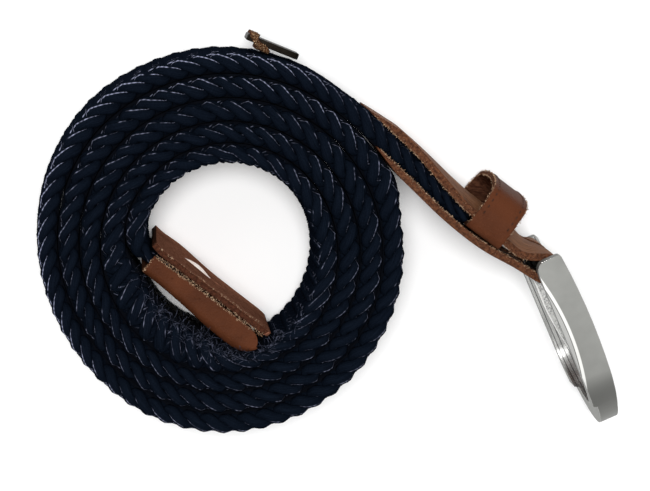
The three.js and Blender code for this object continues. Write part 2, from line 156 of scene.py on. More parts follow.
def miles_of(line):
    """The distance along a line at each of its points."""
    return np.concatenate([[0], np.cumsum(np.linalg.norm(np.diff(line, axis=0), axis=1))])


class Route:
    """A centripetal spline through points, followed by the distance along it."""

    SAMPLES = 24

    def __init__(self, points):
        points = np.array(points, float)
        ends = (2 * points[0] - points[1], 2 * points[-1] - points[-2])
        padded = np.vstack([ends[0], points, ends[1]])
        shares = np.linspace(0, 1, self.SAMPLES, endpoint=False)[:, None]
        spans = []
        for i in range(len(points) - 1):
            p0, p1, p2, p3 = padded[i:i + 4]
            pairs = ((p0, p1), (p1, p2), (p2, p3))
            d0, d1, d2 = (max(np.linalg.norm(b - a), 1e-4) ** 0.5 for a, b in pairs)
            t1 = ((p1 - p0) / d0 - (p2 - p0) / (d0 + d1) + (p2 - p1) / d1) * d1
            t2 = ((p2 - p1) / d1 - (p3 - p1) / (d1 + d2) + (p3 - p2) / d2) * d1
            spans.append(hermite(p1, p2, t1, t2, shares))
        self.line = np.vstack([*spans, points[-1:]])
        self.mile = miles_of(self.line)
        self.length = self.mile[-1]
        self.slope = np.gradient(self.line, self.mile, axis=0)

    def at(self, distance):
        """Places and plan directions at these distances."""
        place, way = (np.stack([np.interp(distance, self.mile, column) for column in table.T], -1)
                      for table in (self.line, self.slope[:, :2]))
        return place, unit(way)


def braid_route():
    points = [tip_plan(TIP_INSIDE, TIP_ACROSS), tip_plan(TIP_INSIDE / 2, TIP_ACROSS)]
    for bend in TIP_TURNS:
        across, along = polar(bend, TIP_BEND)
        points.append(tip_plan(-along, TIP_ACROSS + TIP_BEND - across))
    for quarter in np.arange(LAST_QUARTER, -QUARTER_STEP / 2, -QUARTER_STEP):
        points.append(polar(90 + quarter * 90, coil_radius(quarter)))
    points.append(polar(*OUTER_START))
    points += [tab_point(row, TAB[row][5]) for row in range(3)]
    points.append(tab_point(2, TAB[2][5], BRAID_END_PAST))
    return Route(points)


def strap_route():
    points = [(*tab_point(0, FRONT_LEAD_OFFSET, -FRONT_LEAD), 0)]
    points += [(*tab_point(row, TAB[row][2]), TAB[row][4]) for row in range(len(TAB))]
    side = left_of(FOLD_WAY)
    for turn in FOLD_TURNS:
        along, across = polar(turn, FOLD_RADIUS)
        points.append((*(TAB_LINE[-1] + FOLD_WAY * along + side * across), 0))
    for row in range(len(TAB) - 1, -1, -1):
        points.append((*tab_point(row, TAB[row][3], BACK_LEAD if row == 0 else 0), 0))
    return Route(points)


BRAID = braid_route()
STRAP = strap_route()


def in_row(plan, height):
    """Points of the plan at these heights, in millimetres, as places in metres."""
    plan = (np.asarray(plan)[..., :2] - MIDDLE) * MM
    return np.concatenate([plan, np.broadcast_to(height, plan.shape[:-1])[..., None] * MM], -1)


BAR_PLACE = in_row(BAR, BAR[2])
COVER_EDGE = 5.0  # where the wrapped leather ends beside the inner panel
COVER_THICKNESS, COVER_ROUND = 1.3, 1.5
COVER_BELLY, COVER_BELLY_AT, COVER_BELLY_SPREAD = 1.8, 27.0, 15.0
COVER_NOSE = 4.6  # how far its rounded end reaches past the straight part
COVER_STRAIGHT = TIP["length"] - COVER_NOSE


def cover_side(along):
    """How far across the cover's outer side lies."""
    return -COVER_BELLY * bell(along, COVER_BELLY_AT, COVER_BELLY_SPREAD)


def tip_outline():
    """The outer side of the free end and its round nose, in plan."""
    along = np.linspace(2, COVER_STRAIGHT, 36)
    low = cover_side(COVER_STRAIGHT)
    middle, half = (COVER_EDGE + low) / 2, (COVER_EDGE - low) / 2
    nose = np.linspace(-np.pi / 2, np.pi / 2, 16)
    return np.vstack([tip_plan(along, cover_side(along)),
                      tip_plan(COVER_STRAIGHT + COVER_NOSE * np.cos(nose), middle + half * np.sin(nose))])


# Shader nodes, written as expressions
class Value:
    """A socket, or a plain number, that can be used in sums."""

    def __init__(self, material, socket):
        self.material, self.socket = material, socket

    def _math(self, operation, *others):
        inputs = dict(enumerate((self, *others)))
        return self.material.add("ShaderNodeMath", {"operation": operation}, inputs)

    __add__ = __radd__ = partialmethod(_math, "ADD")
    __sub__ = partialmethod(_math, "SUBTRACT")
    __mul__ = __rmul__ = partialmethod(_math, "MULTIPLY")
    __truediv__ = partialmethod(_math, "DIVIDE")
    __pow__ = partialmethod(_math, "POWER")
    sine = partialmethod(_math, "SINE")
    absolute = partialmethod(_math, "ABSOLUTE")

    def __rsub__(self, other):
        return self.material.add("ShaderNodeMath", {"operation": "SUBTRACT"}, {0: other, 1: self})

    def between(self, low, high):
        """0 below low, 1 above high, smooth in between."""
        return self.material.add("ShaderNodeMapRange", {"interpolation_type": "SMOOTHSTEP"},
                                 {"Value": self, "From Min": low, "From Max": high})


class Finish:
    """One procedural material and the means to add nodes to it."""

    def __init__(self, name, **shader):
        self.material = bpy.data.materials.new(name)
        self.material.use_nodes = True
        self.tree = self.material.node_tree
        self.shader = self.tree.nodes["Principled BSDF"]
        self.place = self.add("ShaderNodeTexCoord", {}, {}, "Object")
        self.set(**shader)

    def add(self, kind, settings, inputs, output=0):
        node = self.tree.nodes.new(kind)
        for key, value in settings.items():
            setattr(node, key, value)
        for key, value in inputs.items():
            self.join(value, node.inputs[key])
        return Value(self, node.outputs[output])

    def join(self, value, socket):
        if isinstance(value, Value):
            self.tree.links.new(value.socket, socket)
        else:
            socket.default_value = value

    def set(self, **shader):
        for key, value in shader.items():
            self.join(value, self.shader.inputs[key.replace("_", " ")])

    def uv(self, name):
        return self.parts(self.add("ShaderNodeUVMap", {"uv_map": name}, {}))

    def parts(self, vector):
        node = self.tree.nodes.new("ShaderNodeSeparateXYZ")
        self.join(vector, node.inputs[0])
        return [Value(self, node.outputs[k]) for k in range(3)]

    def gather(self, x, y, z=0.0):
        return self.add("ShaderNodeCombineXYZ", {}, {0: x, 1: y, 2: z})

    def noise(self, scale, detail=2.0, roughness=0.5, at=None):
        return self.add("ShaderNodeTexNoise", {}, {"Vector": at or self.place, "Scale": scale,
                                                   "Detail": detail, "Roughness": roughness})

    def cells(self, scale):
        return self.add("ShaderNodeTexVoronoi", {}, {"Vector": self.place, "Scale": scale}, "Distance")

    def blend(self, factor, first, second):
        """A colour between two, by a factor. The node's sockets 6, 7 and 2 are those for colours."""
        first, second = (color if isinstance(color, Value) else (*color, 1) for color in (first, second))
        return self.add("ShaderNodeMix", {"data_type": "RGBA"}, {0: factor, 6: first, 7: second}, 2)

    def paint(self, color, *layers):
        """The base colour, with layers over it that each have a factor and a colour."""
        for factor, over in layers:
            color = self.blend(factor, color, over)
        self.set(Base_Color=color)

    def bump(self, height, distance):
        inputs = {"Height": height, "Distance": distance, "Strength": 1.0}
        self.set(Normal=self.add("ShaderNodeBump", {}, inputs))


# Mesh helpers
WELD = 1e-7  # metres


def placed(name, data):
    made = bpy.data.objects.new(name, data)
    bpy.context.scene.collection.objects.link(made)
    return made


def finish_mesh(bm, name, materials, body="belt"):
    mesh = bpy.data.meshes.new(name)
    bm.to_mesh(mesh)
    bm.free()
    piece = placed(name, mesh)
    for finish in materials:
        mesh.materials.append(finish.material)
    mesh.shade_smooth()
    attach(piece, body)
    return piece


def grid(columns, rows, place, uv_scale=(1.0, 1.0), uv_name="cut"):
    """A sheet of cells. place takes arrays u and v from 0 to 1 and gives places in metres."""
    bm = bmesh.new()
    bmesh.ops.create_grid(bm, x_segments=columns, y_segments=rows, size=0.5)
    bm.verts.ensure_lookup_table()
    flat = np.array([vert.co[:2] for vert in bm.verts]) + 0.5
    layer = bm.loops.layers.uv.new(uv_name)
    for face in bm.faces:
        for loop in face.loops:
            u, v = flat[loop.vert.index]
            loop[layer].uv = (u * uv_scale[0], v * uv_scale[1])
    spots = place(flat[:, 0], flat[:, 1])
    for vert, spot in zip(bm.verts, spots):
        vert.co = spot
    return bm


def nearest(share, steps):
    """The step that each share stands for."""
    return np.round(share * steps).astype(int)


def close_up(bm, corners=0):
    """Welds a sheet that runs round into a tube, and caps it where corners says how many its ends have."""
    bmesh.ops.remove_doubles(bm, verts=bm.verts, dist=WELD)
    if corners:
        bmesh.ops.holes_fill(bm, edges=bm.edges, sides=corners)
    bmesh.ops.recalc_face_normals(bm, faces=bm.faces)


def aimed(middle, way):
    """The matrix that sets a shape's middle down there, with its own Z along way."""
    return Matrix.Translation(middle) @ way.to_track_quat("Z", "Y").to_matrix().to_4x4()


def add_cone(bm, middle, way, length, radius, narrowed):
    bmesh.ops.create_cone(bm, cap_ends=True, segments=4, radius1=radius, radius2=radius * narrowed,
                          depth=length, matrix=aimed(middle, way))


def break_edges(piece, width, segments, angle):
    soft = piece.modifiers.new("edges", "BEVEL")
    soft.width = width * MM
    soft.segments = segments
    soft.limit_method = "ANGLE"
    soft.angle_limit = math.radians(angle)
    return soft


def thicken(piece, thickness, edge=0.25, inside=0, even=True, side=0):
    """Gives a sheet its thickness and breaks its edges. The cut edge takes the second material."""
    wall = piece.modifiers.new("thickness", "SOLIDIFY")
    wall.thickness = thickness * MM
    wall.offset = side
    wall.use_even_offset = even
    wall.material_offset_rim = 1
    wall.material_offset = inside
    if edge:
        break_edges(piece, edge, 2, 50)
    return piece


# The braid
STRANDS = 16
PITCH = 4.85  # between strands along an edge
STRAND_WIDTH = 3.15
STEPS_PER_PITCH = 6
STRAND_SIDES = 10
EDGE_ROUNDING = 0.997
STRANDS_PER_PIECE = 4
SLACK = 0.05  # air between neighbouring turns
FREE_SIDE = 2.95  # from the braid's middle to its side where nothing is beside it
FULLEST, SLIMMEST = 4.75, 1.3  # the same beside something, at its widest and at its tightest
FULLEST_AT_TIP, NEAR_TIP, TIP_AIR = 7.0, 13.0, 1.0  # the slack innermost turn swells towards the free end
SWOLLEN_FROM = 126  # millimetres along the braid: past the nose of the free end
NOTHING = 99.0
BARREL = 0.42  # how much slimmer a free side is at the upper and lower edge
THICKEST_STRAND = 3.05
SAME_TURN = 60  # millimetres of the braid on both sides of a point that count as one turn
TIP_ITSELF = 40  # millimetres of the braid from its start that take no notice of the free end's leather
FREE_PAST = 0.6  # a side with this much more room than FULLEST is free
BESIDE_BRAID, BESIDE_LEATHER, BESIDE_TIP = 0.7, 0.92, 0.45  # how squarely beside the braid each one counts
ROOM_STEP, LEATHER_STEP, SMOOTHED = 1.5, 1.0, 7  # millimetres, millimetres, samples


def pared_share(distance):
    """How thick the strap's leather is, as a share of its full thickness."""
    from_end = np.minimum(distance, STRAP.length - distance)
    return SKIVED_TO + (1 - SKIVED_TO) * np.clip(from_end / SKIVED, 0, 1)


def past_tip(distance):
    """0 inside the free end, 1 where the braid has its full size."""
    return smoothstep(distance, TIP_FROM, TIP_TO)


def smoothed(rows):
    """Each row averaged over neighbouring samples."""
    reach = SMOOTHED // 2
    kernel = np.ones(SMOOTHED) / SMOOTHED
    return [np.convolve(np.pad(row, reach, mode="edge"), kernel, "valid") for row in rows.astype(float)]


def room_beside():
    """The room on the braid's left and right, all along it, and whether each side is free."""
    miles = np.arange(0, BRAID.length, ROOM_STEP)
    spots, way = BRAID.at(miles)
    spots, side = spots[:, :2], left_of(way)
    leather_miles = np.arange(0, STRAP.length, LEATHER_STEP)
    leather = STRAP.at(leather_miles)[0][:, :2]
    leather_half = pared_share(leather_miles) * LEATHER_THICKNESS / 2
    tip = tip_outline()
    rooms = np.full((2, len(miles)), NOTHING)
    slack_turn = np.zeros((2, len(miles)), bool)
    for others, facing, thick in ((spots, BESIDE_BRAID, 0), (leather, BESIDE_LEATHER, leather_half),
                                  (tip, BESIDE_TIP, 0)):
        offset = others[None] - spots[:, None]
        apart = np.linalg.norm(offset, axis=-1) + 1e-9
        beside = (offset * side[:, None]).sum(-1) / apart
        free = apart - thick - SLACK
        if others is spots:
            free = apart - TIP_HALF - (apart / 2 - TIP_HALF) * past_tip(miles) - SLACK
            free[np.abs(miles[:, None] - miles[None]) < SAME_TURN] = NOTHING
        if others is tip:
            free[miles < TIP_ITSELF] = NOTHING
        for row, sign in enumerate((1, -1)):
            seen = np.where(beside * sign > facing, free, NOTHING)
            nearest = seen.min(axis=1)
            if others is spots:
                slack_turn[row] |= (miles[seen.argmin(axis=1)] < TIP_TO) & (nearest < NEAR_TIP)
            if others is tip:
                slack_turn[row] |= (nearest < NEAR_TIP) & (miles > SWOLLEN_FROM)
                apart_enough = (miles < SWOLLEN_FROM) & (nearest > FREE_SIDE + TIP_AIR)
                nearest = np.where(apart_enough, NOTHING, nearest - TIP_AIR)
            rooms[row] = np.minimum(rooms[row], nearest)
    is_free = (rooms > FULLEST + FREE_PAST) & ~slack_turn
    fullest = np.where(slack_turn, FULLEST_AT_TIP, FULLEST)
    rooms = np.where(is_free, FREE_SIDE, np.clip(rooms, SLIMMEST, fullest))
    return miles, smoothed(rooms), smoothed(is_free)


ROOM_MILES, ROOM, IS_FREE = room_beside()


def both_sides(rows, distance):
    """What a pair of rows says of the braid's left and right at these distances."""
    return [np.interp(distance, ROOM_MILES, row) for row in rows]


def band_fill(distance):
    """Half the braid's thickness, and how far left of its route its middle lies to fill the room."""
    left, right = both_sides(ROOM, distance)
    share = past_tip(distance)
    return TIP_HALF + ((left + right) / 2 - TIP_HALF) * share, (left - right) / 2 * share


def band_barrel(distance, height, swing):
    """The share of its full swing that a strand keeps, where the braid's free side rounds off."""
    left, right = both_sides(IS_FREE, distance)
    return 1 - BARREL * np.where(swing > 0, left, right) * height ** 2


def band_height(distance):
    return TIP_HEIGHT + (BRAID_WIDTH - TIP_HEIGHT) * past_tip(distance)


def band_middle(distance, place):
    """How high the braid's middle is: only its stretch in the tab climbs."""
    return BRAID_WIDTH / 2 + np.where(BRAID.length - distance < TAB_LENGTH, rise(place), 0)


def strand_offsets(distance, strand):
    """How high a strand is and how far out it has swung, both from -1 to 1."""
    turn = distance / (STRANDS * PITCH) + strand / STRANDS
    x = turn - np.round(turn)
    height = np.arcsin(EDGE_ROUNDING * np.cos(2 * np.pi * x)) / math.asin(EDGE_ROUNDING)
    step = 1 / (2 * STRANDS)
    swing = np.sign(x) * np.cos(2 * np.pi * STRANDS * x)
    low = x - 0.5 * np.sign(x)
    swing = np.where(np.abs(x) < step, -np.sin(np.pi * STRANDS * x), swing)
    swing = np.where(np.abs(low) < step, np.sin(np.pi * STRANDS * low), swing)
    return height, swing


def strand_thickness(half):
    return np.minimum(half, THICKEST_STRAND)


def strand_line(distance, strand):
    """A strand's middle line, the braid's side direction and half its thickness there."""
    place, way = BRAID.at(distance)
    side = left_of(way)
    height, swing = strand_offsets(distance, strand)
    half, shift = band_fill(distance)
    reach = swing * (half - strand_thickness(half) / 2) * band_barrel(distance, height, swing) + shift
    level = band_middle(distance, place) + height * (band_height(distance) - STRAND_WIDTH) / 2
    return np.concatenate([place + side * reach[..., None], level[..., None]], -1), side, half


NEARBY = 0.2  # millimetres to both sides of a point, for a strand's direction


def braid_strands(first, navy):
    """One piece of four neighbouring strands, each a closed cord."""
    steps = int(BRAID.length / PITCH * STEPS_PER_PITCH)
    joined = bmesh.new()
    for strand in range(first, first + STRANDS_PER_PIECE):
        def place(u, v, strand=strand):
            distance = u * BRAID.length
            line, side, half = strand_line(distance, strand)
            ahead = strand_line(np.minimum(distance + NEARBY, BRAID.length), strand)[0]
            behind = strand_line(np.maximum(distance - NEARBY, 0), strand)[0]
            along = unit(ahead - behind)
            outward = np.concatenate([side, np.zeros((len(side), 1))], -1)
            outward = unit(outward - along * np.sum(along * outward, -1, keepdims=True))
            upward = np.cross(along, outward)
            upward *= np.sign(upward[:, 2:3] + 1e-9)
            angle = 2 * np.pi * v
            ring = (outward * (np.cos(angle) * strand_thickness(half) / 2)[:, None]
                    + upward * (np.sin(angle) * STRAND_WIDTH / 2)[:, None])
            spot = line + ring
            return in_row(spot, spot[:, 2])
        bm = grid(steps, STRAND_SIDES, place, (BRAID.length * MM, 1.0), "cord")
        mesh = bpy.data.meshes.new("strand")
        bm.to_mesh(mesh)
        bm.free()
        joined.from_mesh(mesh)
        bpy.data.meshes.remove(mesh)
    close_up(joined, STRAND_SIDES)
    piece = finish_mesh(joined, f"braid_strands_{first // STRANDS_PER_PIECE + 1}", [navy])
    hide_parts("woven_band")


CORE_SIDES = 8
CORE_INSET, CORE_FREE_INSET, CORE_EDGE_INSET = 0.08, 1.2, 4.2  # from sides, free sides and edges
CORE_SQUARED = 1.5  # 1 would leave it oval in section


def braid_core(dark):
    """A near-black filling inside the braid, painted shade deep between the strands, so that no light shows
    between them.
    """
    def place(u, v):
        distance = u * BRAID.length
        spot, way = BRAID.at(distance)
        around = np.round(v * CORE_SIDES) * (2 * np.pi / CORE_SIDES)
        across, up = (np.clip(wave(around) * CORE_SQUARED, -1, 1) for wave in (np.cos, np.sin))
        left, right = both_sides(IS_FREE, distance)
        inset = CORE_INSET + (CORE_FREE_INSET - CORE_INSET) * np.where(across > 0, left, right)
        half, shift = band_fill(distance)
        reach = across * (half - inset) + shift
        level = up * (band_height(distance) / 2 - CORE_EDGE_INSET)
        spot = spot[:, :2] + left_of(way) * reach[:, None]
        return in_row(spot, band_middle(distance, spot) + level)
    bm = grid(int(BRAID.length / 2), CORE_SIDES, place)
    close_up(bm, CORE_SIDES)
    piece = finish_mesh(bm, "braid_core", [dark])
    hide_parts("woven_band")


FUZZ_FROM, FUZZ_TO, FUZZ_COUNT = 108, 168, 300
FUZZ_LENGTH, FUZZ_RADIUS, FUZZ_LINKS = (0.5, 1.2), 0.034, 4
FUZZ_OUT = (0.25, 0.95)  # where it is rooted, as shares of the way from the braid's middle to its side
FUZZ_BELOW, FUZZ_DOWN, FUZZ_DOWN_FROM = 0.6, 9, 1.5  # under the edge, how far down, from how far out
FUZZ_FLAT = 0.6  # how much each link keeps of its climb


def braid_fuzz(pale):
    """Loose yarn ends on the inner side of the innermost turn, beside the free end."""
    rng = np.random.default_rng(41)
    joined = bmesh.new()
    middle = (FUZZ_FROM + FUZZ_TO) / 2
    distance = np.clip(rng.normal(middle, (FUZZ_TO - FUZZ_FROM) / 4, FUZZ_COUNT), FUZZ_FROM, FUZZ_TO)
    spot, forward = BRAID.at(distance)
    inner = -left_of(forward)
    half, shift = band_fill(distance)
    reach = half * rng.uniform(*FUZZ_OUT, FUZZ_COUNT) - shift
    spot = spot[:, :2] + inner * reach[:, None]
    down = FUZZ_DOWN * np.maximum(0, rng.normal(0, 0.5, FUZZ_COUNT)) * (reach > FUZZ_DOWN_FROM)
    roots = in_row(spot, BRAID_WIDTH - FUZZ_BELOW - down)
    for root, inwards, forwards in zip(roots, inner, forward):
        here = Vector(root)
        step = Vector((*(inwards * 0.5 + forwards * rng.normal(0, 1.1)), 0.2))
        step += Vector(rng.normal(0, 0.3, 3))
        curl = Vector(rng.normal(0, 0.3, 3))
        length = rng.uniform(*FUZZ_LENGTH) * MM
        for _ in range(FUZZ_LINKS):
            step = (step + curl).normalized()
            step.z *= FUZZ_FLAT
            there = here + step * length
            way = there - here
            add_cone(joined, (here + there) / 2, way, way.length, FUZZ_RADIUS * MM, 0.9)
            here = there
    piece = finish_mesh(joined, "braid_fuzz", [pale])


# Leather
RAGGED = 0.16  # how far a cut edge wanders
WANDER_KNOTS = 400
STRAP_STEP = 0.7


def wander(distance, seed, step=0.9):
    """A ragged line's offset at these distances, from -1 to 1."""
    knots = np.random.default_rng(seed).uniform(-1, 1, WANDER_KNOTS)
    return np.interp(distance / step, np.arange(WANDER_KNOTS), knots)


def strap_leather(tan, cut):
    """The strip that is folded round the bar, with the prong's slot cut out of it."""
    half = LEATHER_HEIGHT / 2
    slot_half = SLOT_HEIGHT / 2
    levels = np.concatenate([
        np.linspace(-half, -slot_half, 13), np.linspace(-slot_half, slot_half, 5)[1:-1],
        np.linspace(slot_half, half, 13)])

    def place(u, v):
        distance = u * STRAP.length
        spot, way = STRAP.at(distance)
        side = left_of(way)
        level = np.interp(v, np.linspace(0, 1, len(levels)), levels)
        crown = np.maximum(0, 1 - (level / (half - LEATHER_MARGIN)) ** 2)
        onto_braid = (1 - pared_share(distance)) * LEATHER_THICKNESS / 2
        reach = np.maximum(0, spot[:, 2]) * crown - onto_braid
        plan = spot[:, :2] + side * reach[:, None]
        rim = np.abs(level) > half - 0.1
        level = level + np.where(rim, wander(distance, 3) * RAGGED * np.sign(level), 0)
        return in_row(plan, BRAID_WIDTH / 2 + level + rise(plan))
    bm = grid(int(STRAP.length / STRAP_STEP), len(levels) - 1, place,
              (STRAP.length * MM, LEATHER_HEIGHT * MM))
    slot_faces = []
    for face in bm.faces:
        offset = np.array(face.calc_center_median()) - BAR_PLACE
        if -SLOT_BACK < offset[:2] @ FOLD_WAY / MM < SLOT_FRONT and abs(offset[2]) < slot_half * MM:
            slot_faces.append(face)
    bmesh.ops.delete(bm, geom=slot_faces, context="FACES")
    piece = thicken(finish_mesh(bm, "strap_leather", [tan, cut]), LEATHER_THICKNESS, 0.2)
    pare(piece)
    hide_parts("buckle_strap")


def pare(piece):
    """Thins both ends of the strap. Its map runs along it in metres."""
    share = piece.vertex_groups.new(name="pared")
    for loop, corner in zip(piece.data.loops, piece.data.uv_layers[0].data):
        share.add([loop.vertex_index], pared_share(corner.uv[0] / MM), "REPLACE")
    piece.modifiers["thickness"].vertex_group = "pared"


KEEPER_WAY = unit(TAB_LINE[3] - TAB_LINE[2])
KEEPER_SIDE = left_of(KEEPER_WAY)
KEEPER_ORIGIN = TAB_LINE[2] + KEEPER_WAY * KEEPER["at"]
KEEPER_ARCH = 0.5  # how far the top of the loop bows up
KEEPER_STEPS = 110


def bent(a, b, c, steps):
    """Points along a curve from a to c that leaves and arrives towards b."""
    t = np.linspace(0, 1, steps, endpoint=False)[:, None]
    return np.array(a) * (1 - t) ** 2 + 2 * np.array(b) * t * (1 - t) + np.array(c) * t ** 2


def keeper_outline(inset):
    """The loop in section, from the tab's middle line forwards and up."""
    back, front, shoulder = KEEPER["back"] + inset, KEEPER["front"] - inset, KEEPER["shoulder"] - inset
    top, foot = KEEPER["top"] - inset, KEEPER["foot"] + inset
    near, far = KEEPER["back_corner"] - inset, KEEPER["front_corner"] - inset
    middle, inwards = (top + foot) / 2, (shoulder + back) / 2
    knots = np.array([
        (back, foot + near), (back + near * 0.3, foot + near * 0.3), (back + near, foot), (inwards, foot),
        (shoulder - far, foot), (shoulder - far * 0.3, foot + far * 0.3), (shoulder, foot + far),
        (front, middle), (shoulder, top - far), (shoulder - far * 0.27, top - far * 0.27),
        (shoulder - far, top + KEEPER_ARCH * 0.7), (inwards, top + KEEPER_ARCH), (back + near, top),
        (back + near * 0.3, top - near * 0.3), (back, top - near), (back, middle)])
    curve = Route(np.vstack([knots[-1:], knots, knots[:2]]))
    first, last = (curve.mile[Route.SAMPLES * knot] for knot in (1, len(knots) + 1))
    return curve.at(np.linspace(first, last, KEEPER_STEPS, endpoint=False))[0]


def keeper_place(around, along):
    """Section points at these distances along the tab, as places in metres."""
    plan = KEEPER_ORIGIN + KEEPER_SIDE * around[:, :1] + KEEPER_WAY * np.asarray(along)[..., None]
    return in_row(plan, around[:, 1] + rise(plan))


def keeper_leather(tan, cut, flesh):
    outline = keeper_outline(KEEPER["thickness"] / 2)

    def place(u, v):
        at = nearest(u, KEEPER_STEPS) % KEEPER_STEPS
        edge = np.sign(v - 0.5) * (np.abs(v - 0.5) > 0.49)
        along = (v - 0.5) * KEEPER["width"] + edge * wander(at * 0.8, 7) * RAGGED
        return keeper_place(outline[at], along)
    bm = grid(KEEPER_STEPS, 8, place, (0.1, KEEPER["width"] * MM))
    close_up(bm)
    # The loop's inner side takes the third finish, darkened as painted shade.
    piece = thicken(finish_mesh(bm, "keeper_leather", [tan, cut, flesh]), KEEPER["thickness"], inside=2)
    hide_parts("keeper_loop")


def point_on(line, miles, mile):
    return Vector([np.interp(mile, miles, line[:, k]) for k in range(3)])


STITCH_PITCH, STITCH_LENGTH, STITCH_RADIUS = 1.9, 1.0, 0.22
STITCH_PROUD, STITCH_INSET = 0.04, 1.3  # off the leather, and from the rim


def keeper_stitches(thread):
    """A row of stitches beside each rim of the loop, over its top and its front."""
    outline = keeper_outline(-STITCH_PROUD)
    shown = outline[(outline[:, 0] > KEEPER["back"] + 2) & (outline[:, 1] > KEEPER["foot"] + 4)]
    joined = bmesh.new()
    for rim in (-1, 1):
        line = keeper_place(shown, rim * (KEEPER["width"] / 2 - STITCH_INSET))
        miles = miles_of(line) / MM
        for middle in np.arange(STITCH_PITCH / 2, miles[-1] - STITCH_PITCH / 2, STITCH_PITCH):
            start, end = (point_on(line, miles, middle + STITCH_LENGTH * half) for half in (-0.5, 0.5))
            way = end - start
            size = Matrix.Diagonal((STITCH_RADIUS * MM, STITCH_RADIUS * MM, way.length / 2, 1))
            bmesh.ops.create_uvsphere(joined, u_segments=6, v_segments=4, radius=1,
                                      matrix=aimed((start + end) / 2, way) @ size)
    piece = finish_mesh(joined, "keeper_stitches", [thread])


def tip_cover_leather(tan, cut):
    """The leather of the free end, turned over the braid's upper and lower edge."""
    inset = COVER_THICKNESS / 2
    top = BRAID_WIDTH - inset
    turn = top - COVER_ROUND * (1 - np.cos(np.linspace(0, np.pi / 2, 5)))
    side = np.linspace(turn[-1], BRAID_WIDTH - turn[-1], 16)[1:8]
    upper = np.concatenate([np.full(8, top), turn, side])
    heights = np.concatenate([upper, BRAID_WIDTH - upper[::-1]])
    share = np.concatenate([np.linspace(1, 0.3, 8), np.linspace(0.26, 0, 5), np.zeros(7)])
    across_share = np.concatenate([share, share[::-1]])

    def place(u, v):
        at = nearest(v, len(heights) - 1)
        cap = np.clip((u - 0.8) / 0.2, 0, 1) * np.pi / 2
        along = np.minimum(u / 0.8, 1) * COVER_STRAIGHT + COVER_NOSE * np.sin(cap)
        low, high = cover_side(along) + inset, COVER_EDGE + wander(along, 5) * 0.1
        across = low + (high - low) * across_share[at]
        across = (low + high) / 2 + (across - (low + high) / 2) * np.maximum(np.cos(cap), 0.03)
        return in_row(tip_plan(along, across), heights[at])
    bm = grid(70, len(heights) - 1, place, (TIP["length"] * MM, 0.05))
    bmesh.ops.recalc_face_normals(bm, faces=bm.faces)
    piece = thicken(finish_mesh(bm, "tip_cover_leather", [tan, cut]), COVER_THICKNESS, even=False)
    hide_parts("tip_cover")


PANEL_START, PANEL_END = -1.6, 35.2
PANEL_FACE = (7.45, -0.012)  # across at its start, and the change with each millimetre along
PANEL_THICKNESS = 1.5
PANEL_SIDE = 1.0  # the thickness grows away from the seam's face
PANEL_LOW, PANEL_HIGH, PANEL_CORNER = 0.2, 34.8, 3.0
SEAM = 17.5
GAPE_FROM, GAPE_TO, GAPE = 8.0, 16.4, 0.8
LIP_TO, LIP = 21.1, 0.2
PANEL_BELLY, PANEL_BELLY_AT, PANEL_BELLY_SPREAD = 0.85, 6.0, 8.0


def panel_gape(along):
    """How far the lower lip of the seam stands off the upper one."""
    share = np.clip((along - GAPE_FROM) / (GAPE_TO - GAPE_FROM), 0, 1)
    lip = LIP * smoothstep(along, GAPE_FROM, GAPE_FROM + 2) * (1 - smoothstep(along, LIP_TO - 2, LIP_TO))
    return np.maximum(GAPE * np.sin(np.pi * share), lip)


def tip_panel_leather(tan, cut, raw):
    """The inner leather of the free end. Its seam gapes in one place and shows the raw leather, pale and
    brightened nearly to white as painted light.
    """
    levels = np.array([PANEL_LOW, 0.8, 2, 4, 6, 8, 10, 12, 14, 15.5, 16.6, SEAM - 0.06, SEAM + 0.06, 18.4,
                       20, 22, 24, 26, 28, 30, 32, 33.6, 34.4, PANEL_HIGH])

    def place(u, v):
        along = PANEL_START + u * (PANEL_END - PANEL_START)
        level = levels[nearest(v, len(levels) - 1)]
        below = smoothstep(level, SEAM + 0.03, SEAM - 0.03)
        fade = smoothstep(level, 2, SEAM)
        belly = PANEL_BELLY * bell(along, PANEL_BELLY_AT, PANEL_BELLY_SPREAD)
        across = PANEL_FACE[0] + PANEL_FACE[1] * along + below * panel_gape(along) * fade
        across += belly * smoothstep(level, 26, 6)
        across += 0.08 * np.maximum(0, 2.2 - along) ** 1.5
        end = np.clip((along - (PANEL_END - PANEL_CORNER)) / PANEL_CORNER, 0, 1)
        shrink = PANEL_CORNER * (1 - np.sqrt(1 - end ** 2))
        level = np.where(level < SEAM, np.maximum(level, PANEL_LOW + shrink),
                         np.minimum(level, PANEL_HIGH - shrink))
        return in_row(tip_plan(along, across), level)
    bm = grid(84, len(levels) - 1, place, (0.037, 0.035))
    piece = finish_mesh(bm, "tip_panel_leather", [tan, cut, raw])
    low, high = (SEAM - 0.07) * MM, (SEAM + 0.07) * MM
    start = tip_plan(GAPE_FROM, 0)
    for face in piece.data.polygons:
        spot = np.array(face.center[:2]) / MM + MIDDLE
        along = (spot - start) @ TIP_DIRECTION
        if low < face.center[2] < high and 0 < along < GAPE_TO - GAPE_FROM:
            face.material_index = 2
    thicken(piece, PANEL_THICKNESS, 0, even=False, side=PANEL_SIDE)
    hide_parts("tip_panel")


FIBRE_LENGTH, FIBRE_RADIUS = (0.25, 0.75), (0.05, 0.1)
FIBRE_TOP = 34.9  # the height of those across the free end's mouth
TIP_EDGES = (  # across, from, to, height, fibres for each millimetre, seed
    (COVER_EDGE, 0, 34, 35.05, 9, 21),
    (5.6, 0, 34, 34.8, 6, 22),
    (7.35, -1.4, 33, 34.75, 3.4, 23),
)


